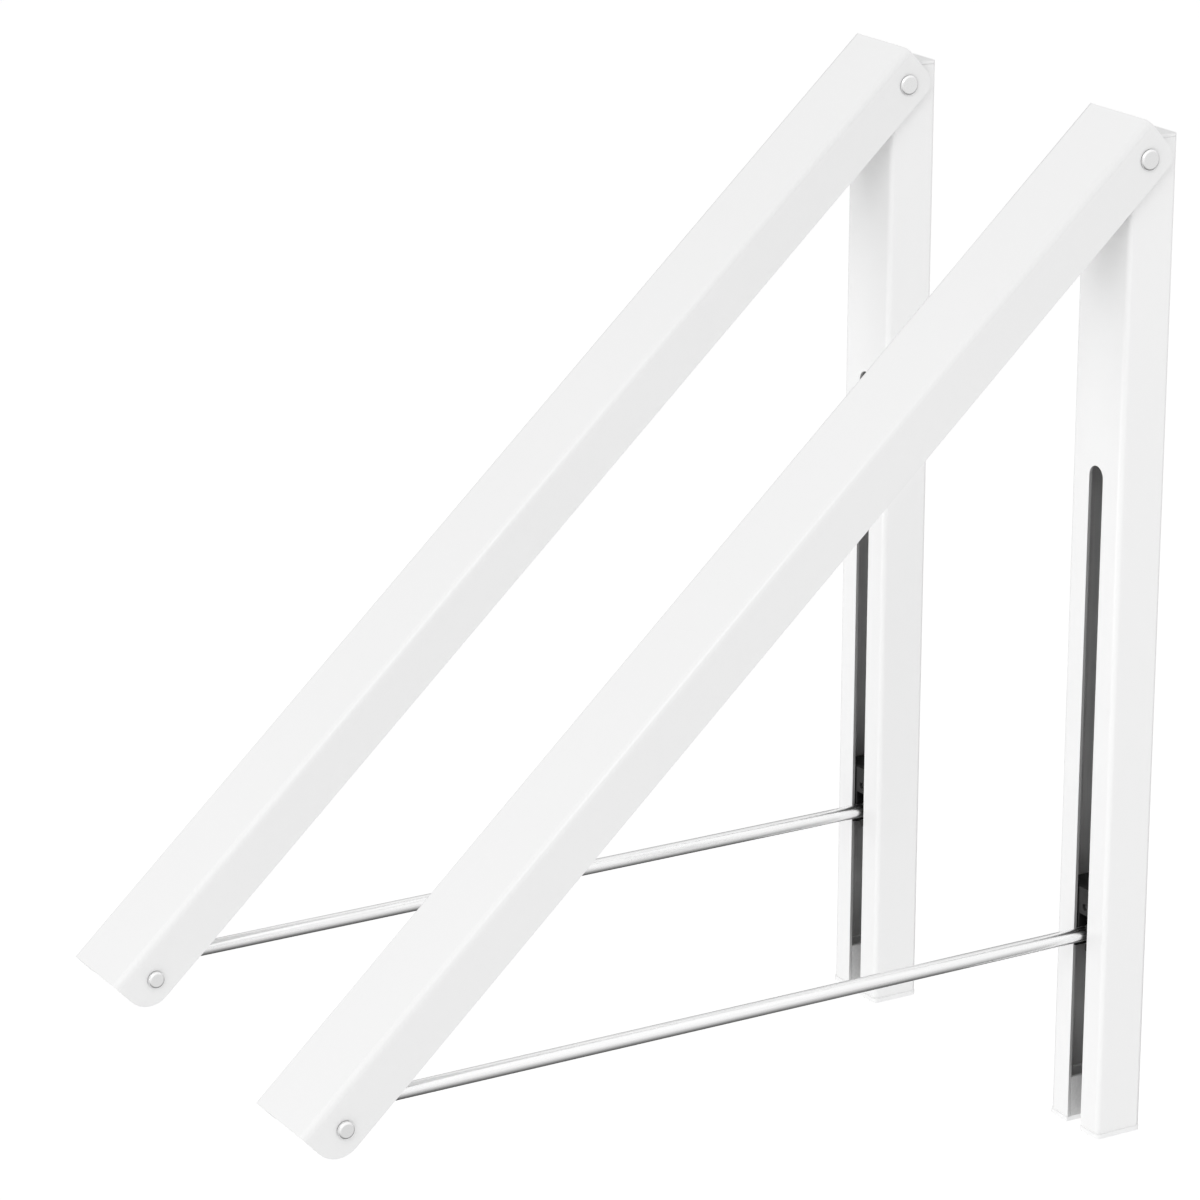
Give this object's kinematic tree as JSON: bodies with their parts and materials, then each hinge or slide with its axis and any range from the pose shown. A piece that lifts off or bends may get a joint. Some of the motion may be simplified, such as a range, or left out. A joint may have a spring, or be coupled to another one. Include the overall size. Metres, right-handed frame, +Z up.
{
  "type": "wall mounted folding drying rack",
  "caption": "Folding wall drying rack: channel arms pivot over slotted wall rails, each propped by a level hanging rod whose inner end rides up the rail on a slider to fold flat.",
  "frame": {"origin": "centre of the four wall screws, on the wall's face, midway between the two rails", "axes": "+X along the wall to the right rack, +Y into the wall, +Z up; the room is on the -Y side"},
  "size_m": [0.1936, 0.3559, 0.3927],
  "materials": {
    "white_coat": "gloss",
    "white_plastic": "semi-gloss",
    "black_plastic": "matte",
    "dark_pad": "satin",
    "bright_steel": "polished",
    "rod_steel": "satin polished",
    "zinc_steel": "zinc plated",
    "nylon": "natural"
  },
  "bodies": {
    "rails": {"left_rail": "white_coat", "left_rail_top_cap": "white_plastic", "left_rail_bottom_cap": "white_plastic", "left_pivot_bush": "zinc_steel", "left_pivot_pin": "zinc_steel", "left_slide_stop": "black_plastic", "left_stop_rivet": "zinc_steel", "right_rail": "white_coat", "right_rail_top_cap": "white_plastic", "right_rail_bottom_cap": "white_plastic", "right_pivot_bush": "zinc_steel", "right_pivot_pin": "zinc_steel", "right_slide_stop": "black_plastic", "right_stop_rivet": "zinc_steel"},
    "left_slider": {"left_slider_block": "black_plastic", "left_slider_pad": "dark_pad", "left_slider_screw": "zinc_steel", "left_slider_axle": "zinc_steel"},
    "left_hanging_rod": {"left_rod": "rod_steel", "left_rod_slider_eye": "zinc_steel", "left_rod_arm_eye": "zinc_steel"},
    "left_swing_arm": {"left_arm": "white_coat", "left_pivot_rivets": "bright_steel", "left_pivot_washers": "nylon", "left_lower_pin": "bright_steel", "left_lower_spacers": "nylon"},
    "right_slider": {"right_slider_block": "black_plastic", "right_slider_pad": "dark_pad", "right_slider_screw": "zinc_steel", "right_slider_axle": "zinc_steel"},
    "right_hanging_rod": {"right_rod": "rod_steel", "right_rod_slider_eye": "zinc_steel", "right_rod_arm_eye": "zinc_steel"},
    "right_swing_arm": {"right_arm": "white_coat", "right_pivot_rivets": "bright_steel", "right_pivot_washers": "nylon", "right_lower_pin": "bright_steel", "right_lower_spacers": "nylon"}
  },
  "joints": [
    {"name": "left_slider_slide", "type": "slide", "parent": "rails", "child": "left_slider", "axis": [0, 0, 1], "range_m": [0, 0.1826]},
    {"name": "left_rod_hinge", "type": "hinge", "parent": "left_slider", "child": "left_hanging_rod", "pos_m": [-0.0765, -0.015, -0.123], "axis": [1, 0, 0], "range_deg": [0, 90]},
    {"name": "left_arm_hinge", "type": "hinge", "parent": "left_hanging_rod", "child": "left_swing_arm", "pos_m": [-0.0765, -0.3396, -0.123], "axis": [1, 0, 0], "range_deg": [-42.74, 0]},
    {"name": "right_slider_slide", "type": "slide", "parent": "rails", "child": "right_slider", "axis": [0, 0, 1], "range_m": [0, 0.1826]},
    {"name": "right_rod_hinge", "type": "hinge", "parent": "right_slider", "child": "right_hanging_rod", "pos_m": [0.0765, -0.015, -0.123], "axis": [1, 0, 0], "range_deg": [0, 90]},
    {"name": "right_arm_hinge", "type": "hinge", "parent": "right_hanging_rod", "child": "right_swing_arm", "pos_m": [0.0765, -0.3396, -0.123], "axis": [1, 0, 0], "range_deg": [-42.74, 0]}
  ],
  "couplings": [
    {"joint": "left_rod_hinge", "follows": "left_slider_slide", "rad_per_m": 8.602},
    {"joint": "left_arm_hinge", "follows": "left_slider_slide", "rad_per_m": -4.0855},
    {"joint": "right_rod_hinge", "follows": "right_slider_slide", "rad_per_m": 8.602},
    {"joint": "right_arm_hinge", "follows": "right_slider_slide", "rad_per_m": -4.0855}
  ]
}
